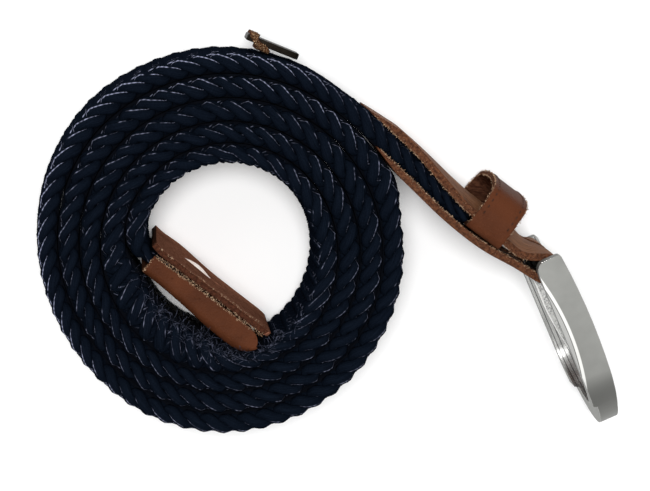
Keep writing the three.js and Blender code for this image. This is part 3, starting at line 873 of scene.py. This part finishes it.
def add_fibres(bm, line, each_mm, seed, up, spread=0.12):
    """Short torn fibres along a cut edge, a line in metres. They lean towards up."""
    rng = np.random.default_rng(seed)
    miles = miles_of(line) / MM
    for _ in range(int(miles[-1] * each_mm)):
        spot = point_on(line, miles, rng.uniform(0, miles[-1]))
        spot += Vector(rng.normal(0, spread * MM, 3))
        way = Vector(up) + Vector(rng.normal(0, 0.8, 3))
        length = rng.uniform(*FIBRE_LENGTH) * MM
        radius = rng.uniform(*FIBRE_RADIUS) * MM
        add_cone(bm, spot, way, length, radius, 0.35)


def leather_fibres(pale):
    joined = bmesh.new()
    # beside the braid, along both layers of the strap
    distance = np.linspace(1, STRAP.length - 1, 240)
    spot, way = STRAP.at(distance)
    edge = spot[:, :2] - left_of(way) * LEATHER_THICKNESS / 2
    front = distance < STRAP.length * 0.44
    back = distance > STRAP.length * 0.56
    for part, seed, each in ((front, 11, 6.5), (back, 12, 7.0)):
        top = BRAID_WIDTH / 2 + LEATHER_HEIGHT / 2 + rise(edge[part])
        add_fibres(joined, in_row(edge[part], top), each, seed, (0, 0, 1))
    # round both rims of the keeper
    for rim, seed in ((-1, 13), (1, 14)):
        for inset, more in ((0.05, 0), (KEEPER["thickness"] - 0.05, 4)):
            outline = keeper_outline(inset)
            shown = outline[outline[:, 0] > KEEPER["back"] + 1.2]
            line = keeper_place(shown, rim * KEEPER["width"] / 2)
            add_fibres(joined, line, 2.2, seed + more, (-rim * 0.5, rim * 0.5, 0.7), 0.07)
    # the free end: the wrapped edge, its mouth and the inner panel's edge
    along = np.linspace(-0.1, TIP["length"], 80)
    for across, low, high, height, each, seed in TIP_EDGES:
        part = along[(along >= low) & (along <= high)]
        line = in_row(tip_plan(part, across + wander(part, seed, 1.3) * 0.15), height)
        add_fibres(joined, line, each, seed, (0, 0, 0.8), 0.14)
    mouth = tip_plan(0, np.linspace(0.3, 4.8, 12))
    add_fibres(joined, in_row(mouth, FIBRE_TOP), 6, 24, (-0.6, 0.3, 0.5), 0.1)
    piece = finish_mesh(joined, "leather_fibres", [pale])


SHARP = 35  # degrees: an edge sharper than this is broken
CAD_WELD = 2e-6  # metres


def refined(node, name, finishes, body, width, inner=None, edges=-1):
    """A CAD node's shape with its edges broken. The broken edges take the finish numbered edges."""
    bm = bmesh.new()
    bm.from_mesh(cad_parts[node].data)
    bmesh.ops.remove_doubles(bm, verts=bm.verts, dist=CAD_WELD)
    bmesh.ops.dissolve_limit(bm, angle_limit=math.radians(0.5), verts=bm.verts, edges=bm.edges)
    if inner:
        for face in bm.faces:
            face.material_index = int(inner(face))
    piece = finish_mesh(bm, name, finishes, body)
    soft = break_edges(piece, width, 3, SHARP)
    soft.harden_normals = True
    soft.material = edges
    piece.data.set_sharp_from_angle(angle=math.radians(SHARP))
    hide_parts(node)


FRAME_TURN = math.radians(-66.8)
BAR_RADIUS = 1.5
WINDOW_HALF, WINDOW_REACH = 17.6, 40.0


def in_frame(x, y):
    """An offset in the plan as the buckle frame has it: along it, and towards its front."""
    cos, sin = math.cos(FRAME_TURN), math.sin(FRAME_TURN)
    return x * cos + y * sin, y * cos - x * sin


def in_window(face):
    """Whether a face of the casting is a wall of its window."""
    spot = face.calc_center_median() - Vector(BAR_PLACE)
    along, front = (part / MM for part in in_frame(spot.x, spot.y))
    outward, facing = in_frame(face.normal.x, face.normal.y)
    near_bar = math.hypot(along, front) < BAR_RADIUS + 0.2
    inside = abs(spot.z) < (WINDOW_HALF + 0.1) * MM and along < WINDOW_REACH + 0.2
    inwards = outward * (along - WINDOW_REACH / 2) + face.normal.z * spot.z / MM < 0
    return inside and inwards and abs(facing) < 0.3 and not near_bar


# The small plate and its loop
PLATE = dict(x=12.4, y=50.1, angle=-22.3, foot=14.0, height=11.0)
LOOP_BACK, LOOP_FRONT, LOOP_THICKNESS = -1.8, 1.25, 0.7  # across the plate, to the leather's middle
LOOP_MIDDLE, LOOP_WIDTH = (-5.3, 3.2), (2.3, 1.3)  # along the plate, and the change towards the back


def plate_loop_leather(raw, cut):
    """The leather loop: narrow where it crosses the plate's edge, wider behind it."""
    low, high = PLATE["foot"] - 0.9, PLATE["foot"] + PLATE["height"] + 0.75
    back, front, middle = LOOP_BACK, LOOP_FRONT, (low + high) / 2
    outline = np.vstack([
        bent((back, low), (0, low - 0.1), (front, low), 6),
        bent((front, low + 0.1), (front, middle), (front, high - 0.9), 12),
        bent((front, high - 0.9), (front - 0.15, high + 0.1), (0.2, high), 8),
        bent((0.2, high), (back + 0.1, high + 0.1), (back, high - 1.6), 10),
        bent((back, high - 1.6), (back, middle), (back, low), 12),
    ])
    count = len(outline)
    way = polar(PLATE["angle"], 1)
    side = left_of(way)

    def place(u, v):
        at = nearest(u, count) % count
        across, height = outline[at, 0], outline[at, 1]
        behind = smoothstep(across, 0.6, back + 0.2)
        middle, width = (start + change * behind for start, change in (LOOP_MIDDLE, LOOP_WIDTH))
        along = middle + (v - 0.5) * (width + wander(at * 0.6, 31) * 0.5)
        plan = np.array([PLATE["x"], PLATE["y"]]) + way * along[:, None] + side * across[:, None]
        return in_row(plan, height + wander(at * 0.5 + v * 9, 32) * 0.18)
    bm = grid(count, 8, place, (0.03, 0.005))
    close_up(bm)
    piece = thicken(finish_mesh(bm, "plate_loop_leather", [raw, cut]), LOOP_THICKNESS, 0.12)
    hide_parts("side_loop")


# Finishes. The nodes work in metres.
BEAD_LENGTH = 0.0007  # of the dashes in the painted highlight lines along a cord


def waxed_cord():
    """Dark navy cord. Pale lines painted along it stand for highlights on the strands, strongest high up
    and on the outer turn's side towards the key light; on the innermost turn a second line stands for pale
    fuzz.
    """
    navy = Finish("waxed_navy_cord", Specular_IOR_Level=0.0)
    along, around, _ = navy.uv("cord")
    patch = navy.noise(260)
    fine = navy.noise(2600, 3, 0.6)
    yarns = navy.noise(1, 3, 0.6, navy.gather(along * 260, around * 34))
    beads = ((along / BEAD_LENGTH) * (2 * math.pi)).sine() * 0.35 + 0.65
    wave = (patch - 0.5) * 0.05
    outer_turn = along.between((BRAID.length - 420) * MM, (BRAID.length - 300) * MM)
    x, y, z = navy.parts(navy.place)
    # Painted highlight: the pale lines are strongest high up on the braid and, on the outer turn, on the
    # side that faces the key light.
    lit_near_top = z.between(0.013, 0.027) * 0.8 + 0.2
    facing = (y - x - 0.024).between(-0.05, 0.04)
    shown = outer_turn * facing
    in_tab = along.between((BRAID.length - 62) * MM, (BRAID.length - 40) * MM)
    # upper is a thin painted highlight along each strand's upper outer side; inner is a pale line for fuzz
    # on the innermost turn.
    upper = 1 - (around - 0.12 + wave).absolute().between(0.006, 0.024)
    innermost = 1 - along.between(170 * MM, 200 * MM)
    inner = (1 - (around - 0.38 + wave).absolute().between(0.006, 0.02)) * innermost * 0.8
    highlight_and_fuzz_mask = (patch + shown * 0.15).between(0.46, 0.60) * (0.5 + shown * 0.5) * (1 - in_tab * 0.75) * lit_near_top
    body = navy.blend(fine.between(0.2, 0.8) * 0.5 + yarns.between(0.3, 0.7) * 0.5,
                      (0.0017, 0.0027, 0.0052), (0.0050, 0.0080, 0.0145))
    # The pale colour is painted highlight on the upper lines and pale fuzz on the inner ones.
    navy.paint(body, ((upper + inner) * highlight_and_fuzz_mask * beads, (0.30, 0.32, 0.45)))
    navy.set(Roughness=0.66 - fine * 0.2)
    navy.bump(fine * 0.4 + yarns * 0.7 + upper * 0.8, 0.0002)
    return navy


def two_tone(name, scale, detail, tones, dark, light, bump=0.0, **shader):
    """A dull finish whose colour wanders between two, with noise from tones[0] to tones[1]."""
    finish = Finish(name, **shader)
    shade = finish.noise(scale, detail, 0.6)
    finish.paint(dark, (shade.between(*tones), light))
    if bump:
        finish.bump(shade, bump)
    return finish


def tanned_leather():
    """Smooth reddish-brown leather with fine pores."""
    leather = Finish("tan_leather", Specular_IOR_Level=0.06)
    cloud = leather.noise(85, 4, 0.6)
    grain = leather.cells(1700)
    speck = leather.noise(3200, 3, 0.65)
    crease = leather.noise(420, 3, 0.7)
    leather.paint((0.052, 0.0150, 0.0056), (cloud.between(0.3, 0.7), (0.082, 0.0245, 0.0095)),
                  (crease.between(0.6, 0.78) * 0.5, (0.028, 0.009, 0.005)),
                  (speck.between(0.55, 0.72) * 0.3, (0.15, 0.055, 0.024)))
    leather.set(Roughness=0.5 + cloud * 0.2)
    leather.bump(grain * 0.6 + speck * 0.5 - crease.between(0.58, 0.8), 0.00016)
    return leather


def strap_finish():
    """The strap's leather, with long streaks that follow it."""
    leather = Finish("streaked_leather", Specular_IOR_Level=0.05)
    along, up, _ = leather.uv("cut")
    streak = leather.noise(1, 4, 0.65, leather.gather(along * 160, up * 1500))
    cloud = leather.noise(130, 4, 0.6)
    speck = leather.noise(3000, 3, 0.65)
    front = leather.blend(streak.between(0.34, 0.68), (0.095, 0.036, 0.015), (0.205, 0.090, 0.040))
    back = leather.blend(streak.between(0.34, 0.68), (0.050, 0.018, 0.009), (0.105, 0.040, 0.019))
    behind = along.between(STRAP.length * MM * 0.5, STRAP.length * MM * 0.56)
    leather.paint(front, (behind, back), (cloud.between(0.52, 0.7) * 0.6, (0.040, 0.014, 0.008)))
    leather.set(Roughness=0.7 - streak * 0.15)
    leather.bump(streak + speck * 0.5, 0.00022)
    return leather


def cut_leather(name, dark, light, pale, spots=0.64):
    """A cut edge: torn fibres in dark and light tones, with a few pale spots."""
    edge = Finish(name, Roughness=0.85, Specular_IOR_Level=0.02)
    fibre = edge.noise(1500, 4, 0.75)
    speck = edge.noise(4200, 2, 0.6)
    edge.paint(dark, (fibre.between(0.36, 0.64), light), (speck.between(spots, spots + 0.1), pale))
    edge.bump(fibre + speck * 0.6, 0.0003)
    return edge


def flesh_leather(name, dark, light, stain):
    """The dull inner side of the leather."""
    flesh = Finish(name, Roughness=0.9, Specular_IOR_Level=0.0)
    turn = math.radians(TIP["angle"])
    turned = flesh.add("ShaderNodeMapping", {}, {"Vector": flesh.place, "Rotation": (0, 0, -turn),
                                                 "Scale": (220, 1900, 1900)})
    streak = flesh.noise(1, 3, 0.6, turned)
    cloud = flesh.noise(140, 4, 0.6)
    flesh.paint(dark, (streak.between(0.34, 0.66), light), (cloud.between(0.5, 0.7) * 0.5, stain))
    flesh.bump(streak, 0.00012)
    return flesh


REFLECTION_LINE_PITCH = 0.0011  # between the dark lines painted on the window's walls as reflections, in metres
# The line on the rails' outer side where the satin ends, ahead of the bar: (A * along + B) * along + C.
# It is a change of colour only, painted light and shade of a bevel: the rails' shape goes on behind it.
SATIN_EDGE = (-8.04, 0.2592, -0.00277)
HIGHLIGHT_STRIP = 0.0009  # how wide the painted highlight strip behind the satin is
NEAR_BAR = (0.0042, 0.0066)  # where the painted shade beside the bar fades out, from the bar's middle line
INSIDE_RAILS, OUTER_SIDE = (0.0160, 0.0172), (0.0203, 0.0207)  # from the middle of the bar's height


def metal(name, color, darker, roughness, streak, grain=0.0, pitted=0.0, painted_reflection_lines=0.0, painted_bevel=False):
    """Metal, with painted shade beside the bar. It can be pitted, have dark lines painted on as
    reflections, or a painted bevel of light and shade where the satin ends.
    """
    finish = Finish(name, Metallic=1.0)
    x, y, z = finish.parts(finish.place)
    brushed = finish.noise(2600, 3, 0.6, finish.gather(x * 0.15, y * 0.15, z))
    cloud = finish.noise(60, 3)
    pits = finish.noise(1900, 3, 0.7)
    tone = finish.blend(cloud.between(0.3, 0.7), color, darker)
    if pitted:
        tone = finish.blend(pits.between(0.5, 0.66) * pitted, tone, (0.10, 0.10, 0.10))
    bar_x, bar_y, bar_z = BAR_PLACE
    x, y = x - bar_x, y - bar_y
    along, front = in_frame(x, y)
    # Dark lines painted across the window's walls as reflections in the polished metal.
    if painted_reflection_lines:
        reflection_line = (front * (2 * math.pi / REFLECTION_LINE_PITCH)).sine().between(0.55, 0.9)
        tone = finish.blend(reflection_line * painted_reflection_lines, tone, (0.03, 0.03, 0.03))
    level = (z - bar_z).absolute()
    # Behind the satin's edge the outer side is painted lighter, with a bright strip and a dark line:
    # painted light and shade of a bevel and a turned face.
    if painted_bevel:
        behind = (along * SATIN_EDGE[0] + SATIN_EDGE[1]) * along + SATIN_EDGE[2] - front
        outside = level.between(*OUTER_SIDE)
        back = finish.blend(behind.between(HIGHLIGHT_STRIP, HIGHLIGHT_STRIP + 0.0002), (0.62, 0.62, 0.60),
                            (0.34, 0.34, 0.33))
        # The dark line is painted shade along the far side of the highlight strip.
        line = 1 - (behind - HIGHLIGHT_STRIP).absolute().between(0.00006, 0.00016)
        back = finish.blend(line * 0.85, back, (0.03, 0.03, 0.03))
        tone = finish.blend(behind.between(-0.00008, 0.00008) * outside, tone, back)
    # Painted shade: dark round the bar, between the rails, where the leather and the prong's eye enclose
    # it.
    from_bar = (x * x + y * y) ** 0.5
    painted_bar_shade = (1 - from_bar.between(*NEAR_BAR)) * (1 - level.between(*INSIDE_RAILS))
    finish.paint(tone, (painted_bar_shade, (0.012, 0.011, 0.010)))
    finish.set(Roughness=roughness + (brushed - 0.5) * streak)
    if grain:
        finish.bump(pits, grain)
    return finish


navy_cord = waxed_cord()
# Near black: painted shade deep between the strands.
shade_core = Finish("painted_shade_core", Roughness=0.9, Specular_IOR_Level=0.05)
shade_core.paint((0.001, 0.0015, 0.003), (shade_core.noise(800), (0.003, 0.004, 0.007)))
tan = tanned_leather()
streaked = strap_finish()
cut_edge = cut_leather("cut_leather_edge",
                       (0.040, 0.015, 0.009), (0.125, 0.050, 0.025), (0.40, 0.25, 0.15))
frayed = cut_leather("frayed_leather",
                     (0.018, 0.007, 0.004), (0.13, 0.055, 0.024), (0.62, 0.42, 0.24), 0.57)
panel_edge = cut_leather("panel_edge_leather",
                         (0.033, 0.012, 0.007), (0.077, 0.027, 0.015), (0.15, 0.07, 0.04))
# Pale raw leather, brightened nearly to white as painted light catching the seam's gape.
raw = two_tone("raw_leather_painted_glare", 900, 3, (0.3, 0.7), (0.86, 0.72, 0.62), (1.0, 0.93, 0.88), 0.00008,
               Roughness=0.7)
# The keeper's inner side: flesh-side colours darkened as painted shade inside the loop.
flesh = flesh_leather("shaded_flesh_side_leather",
                      (0.040, 0.015, 0.009), (0.090, 0.038, 0.021), (0.030, 0.013, 0.009))
panel_face = flesh_leather("inner_panel_leather",
                           (0.18, 0.072, 0.043), (0.32, 0.135, 0.082), (0.12, 0.045, 0.028))
thread = two_tone("stitching_thread", 1500, 2, (0.3, 0.7), (0.028, 0.011, 0.006), (0.065, 0.025, 0.014),
                  0.00008, Roughness=0.7, Specular_IOR_Level=0.1)
pale_fibre = two_tone("torn_leather_fibres", 1400, 2, (0.36, 0.62), (0.15, 0.075, 0.040),
                      (0.50, 0.34, 0.22), Roughness=0.8, Specular_IOR_Level=0.1)
loose_yarn = two_tone("loose_navy_yarn", 900, 2, (0.4, 0.66), (0.004, 0.006, 0.012), (0.09, 0.10, 0.15),
                      Roughness=0.8, Specular_IOR_Level=0.1)
satin = metal("satin_metal", (0.225, 0.227, 0.215), (0.205, 0.207, 0.196), 0.6, 0.1, painted_bevel=True)
polished = metal("polished_metal", (0.62, 0.62, 0.61), (0.42, 0.42, 0.41), 0.24, 0.08, painted_reflection_lines=0.75)
cast = metal("cast_metal", (0.82, 0.82, 0.80), (0.56, 0.56, 0.54), 0.34, 0.2, 0.0005, 0.6)
rim = metal("rubbed_metal_rim", (0.90, 0.90, 0.88), (0.80, 0.80, 0.78), 0.16, 0.05)
# Its dark colour is painted shade, for the dark outlines along the prong's broken edges.
shaded_edge_metal = metal("painted_shade_edge", (0.05, 0.05, 0.05), (0.02, 0.02, 0.02), 0.5, 0.1)
bronze = metal("dark_bronze", (0.020, 0.016, 0.012), (0.006, 0.005, 0.004), 0.5, 0.3, 0.0003)

for start in range(0, STRANDS, STRANDS_PER_PIECE):
    braid_strands(start, navy_cord)
braid_core(shade_core)
braid_fuzz(loose_yarn)
strap_leather(streaked, cut_edge)
keeper_leather(tan, cut_edge, flesh)
keeper_stitches(thread)
tip_cover_leather(tan, cut_edge)
tip_panel_leather(panel_face, panel_edge, raw)
leather_fibres(pale_fibre)
refined("buckle_frame", "frame_casting", [satin, polished, rim], "frame", 0.35,
        inner=in_window, edges=2)
refined("buckle_prong", "prong_casting", [cast, shaded_edge_metal], "prong", 0.25, edges=1)
refined("side_plate", "side_plate_metal", [bronze], "belt", 0.25)
plate_loop_leather(frayed, cut_edge)


# Floor, light and camera
def stage():
    bpy.ops.mesh.primitive_plane_add(size=6, location=(0, 0, 0))
    floor = bpy.context.object
    floor.name = "floor"
    pale = Finish("pale_floor", Roughness=0.9, Specular_IOR_Level=0.0)
    pale.paint((0.93, 0.93, 0.93), (pale.noise(4), (0.95, 0.95, 0.95)))
    floor.data.materials.append(pale.material)


LIT_POINT = Vector((0, 0, 0.02))


def soft_light(name, place, size, power):
    data = bpy.data.lights.new(name, "AREA")
    data.shape = "DISK"
    data.size = size
    data.energy = power
    light = placed(name, data)
    light.location = place
    light.rotation_mode = "QUATERNION"
    light.rotation_quaternion = (LIT_POINT - Vector(place)).to_track_quat("-Z", "Y")


CAMERA_PLACE = (-25.584, 86.787, 701.846)  # millimetres from the coil's centre
CAMERA_LENS = 149.0
CAMERA_RIGHT = Vector((0.99716, 0.0, 0.07537))
CAMERA_FORWARD = Vector((0.07476, -0.12739, -0.98903))


def camera():
    data = bpy.data.cameras.new("camera")
    data.lens = CAMERA_LENS
    data.sensor_width = 36
    data.clip_start, data.clip_end = 0.01, 20
    made = placed("camera", data)
    back = -CAMERA_FORWARD.normalized()
    up = back.cross(CAMERA_RIGHT).normalized()
    right = up.cross(back)
    turn = Matrix((right, up, back)).transposed()
    place = Vector(in_row(CAMERA_PLACE, CAMERA_PLACE[2]))
    made.matrix_world = Matrix.Translation(place) @ turn.to_4x4()
    bpy.context.scene.camera = made


def sky():
    world = bpy.data.worlds.new("studio")
    bpy.context.scene.world = world
    world.use_nodes = True
    background = world.node_tree.nodes["Background"]
    background.inputs["Color"].default_value = (1, 1, 1, 1)
    background.inputs["Strength"].default_value = 0.5
    bpy.context.scene.view_settings.view_transform = "Standard"


stage()
sky()
soft_light("overhead", (-0.11, 0.18, 1.5), 0.5, 20)
soft_light("key", (-0.7, 0.6, 1.0), 0.6, 2.2)
soft_light("fill", (0.8, 0.3, 0.9), 0.6, 0.7)
camera()
